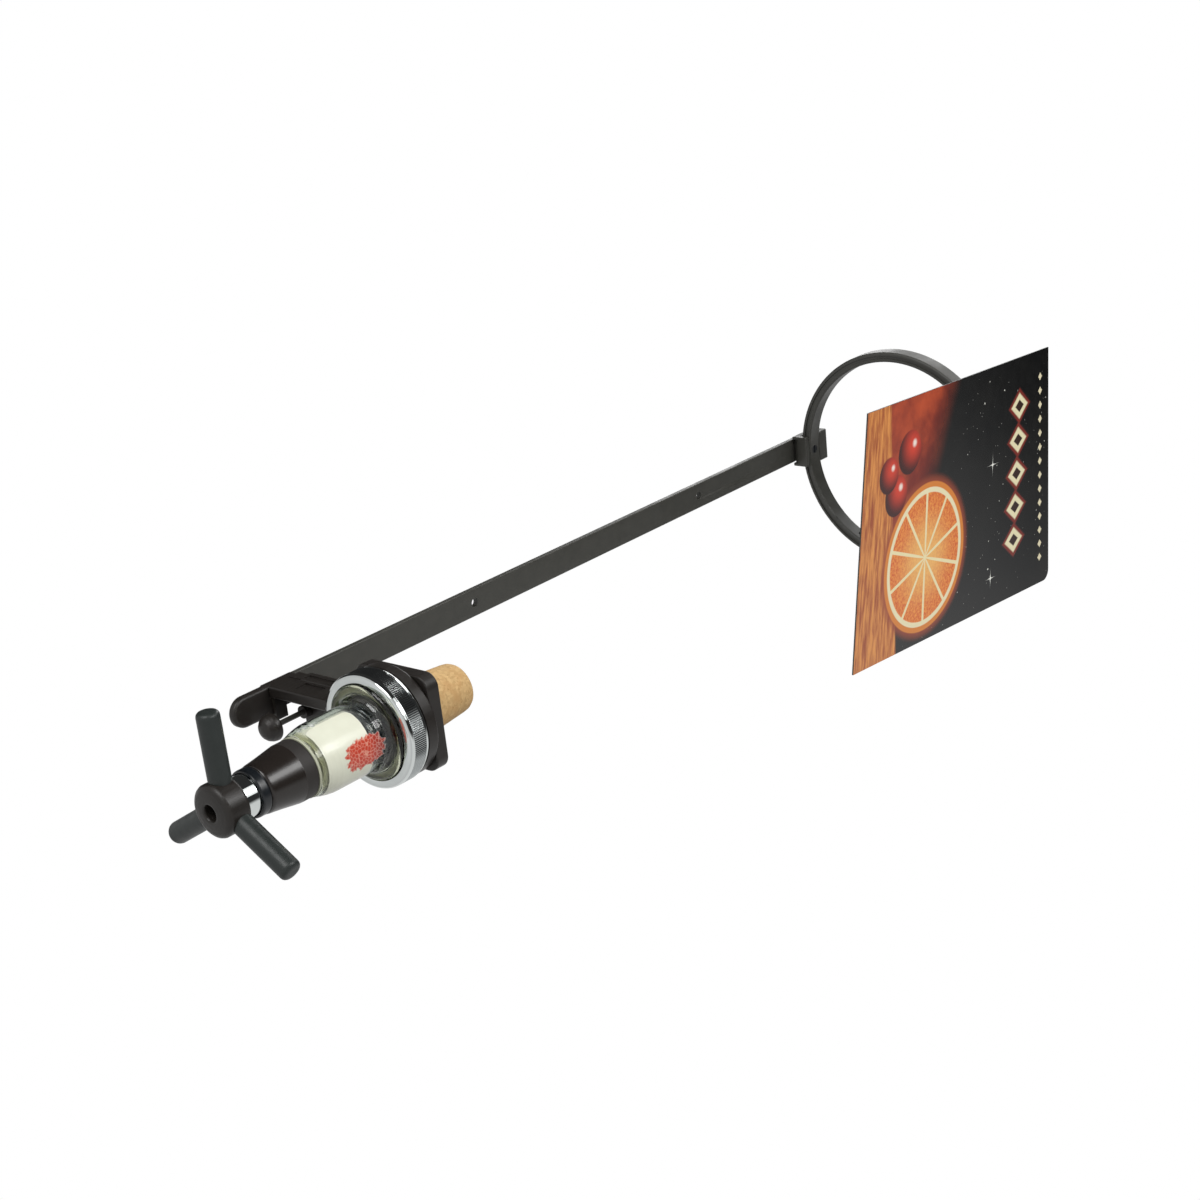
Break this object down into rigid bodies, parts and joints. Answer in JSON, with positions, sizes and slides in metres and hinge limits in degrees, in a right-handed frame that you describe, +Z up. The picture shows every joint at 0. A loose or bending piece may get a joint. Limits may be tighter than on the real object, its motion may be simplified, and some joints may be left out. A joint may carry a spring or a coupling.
{
  "type": "liquor optic dispenser",
  "caption": "Wall rail with a bottle hoop, an advertising sign and an upside-down bottle's optic measure, worked by pushing up a star handle under a glass chamber.",
  "frame": {"origin": "on the bottle neck's axis, on the holder plate's top face where the bottle mouth rests", "axes": "+Z up along the rail to the hoop, -Y to the room, +Y to the wall, +X to the right seen from the room"},
  "size_m": [0.1106, 0.1101, 0.4197],
  "materials": {
    "rail_paint": "satin",
    "black_plastic": "gloss",
    "handle_plastic": "satin",
    "chrome": "polished",
    "glass": "clear",
    "label_paper": "matt",
    "cork": "matt",
    "rubber": "satin",
    "spring_steel": "satin",
    "sign_board": "gloss"
  },
  "bodies": {
    "rail": {"wall_bar": "rail_paint", "hoop": "rail_paint", "hoop_block": "rail_paint", "hoop_screw": "rail_paint", "bracket": "black_plastic", "holder_plate": "black_plastic", "cork": "cork", "neck_tube": "black_plastic", "valve_head": "black_plastic", "chamber_gasket": "rubber", "measuring_glass": "glass", "label_sleeve": "label_paper", "valve_cage": "black_plastic", "tie_tube": "black_plastic", "glass_gasket": "rubber", "nozzle": "black_plastic", "wiper_ring": "rubber", "return_spring": "spring_steel"},
    "clamp": {"clamp_screw": "rail_paint", "clamp_knob": "black_plastic"},
    "nut": {"union_nut": "chrome"},
    "push_carriage": {"spring_washer": "spring_steel"},
    "star": {"spout_tube": "chrome", "star_hub": "black_plastic", "star_arm_1": "handle_plastic", "star_arm_2": "handle_plastic", "star_arm_3": "handle_plastic", "stem": "spring_steel", "inlet_seal": "rubber", "outlet_seal": "rubber"},
    "sign": {"sign_panel": "sign_board", "sign_clip": "spring_steel", "sign_pad": "rubber"}
  },
  "joints": [
    {"name": "push", "type": "slide", "parent": "rail", "child": "push_carriage", "axis": [0, 0, 1], "range_m": [0, 0.004], "stiffness_N_per_m": 300, "springref_m": -0.01, "deforming": ["return_spring"]},
    {"name": "star_spin", "type": "hinge", "parent": "push_carriage", "child": "star", "pos_m": [0, 0, -0.0744], "axis": [0, 0, 1], "continuous": true},
    {"name": "nut_turn", "type": "hinge", "parent": "rail", "child": "nut", "pos_m": [0, 0, -0.0137], "axis": [0, 0, 1], "continuous": true},
    {"name": "clamp_turn", "type": "hinge", "parent": "rail", "child": "clamp", "pos_m": [0.0042, 0.04, -0.024], "axis": [0, 0, 1], "continuous": true},
    {"name": "sign_swing", "type": "hinge", "parent": "rail", "child": "sign", "pos_m": [0, 0, 0.29775], "axis": [0, 0, 1], "range_deg": [-45, 45]}
  ]
}
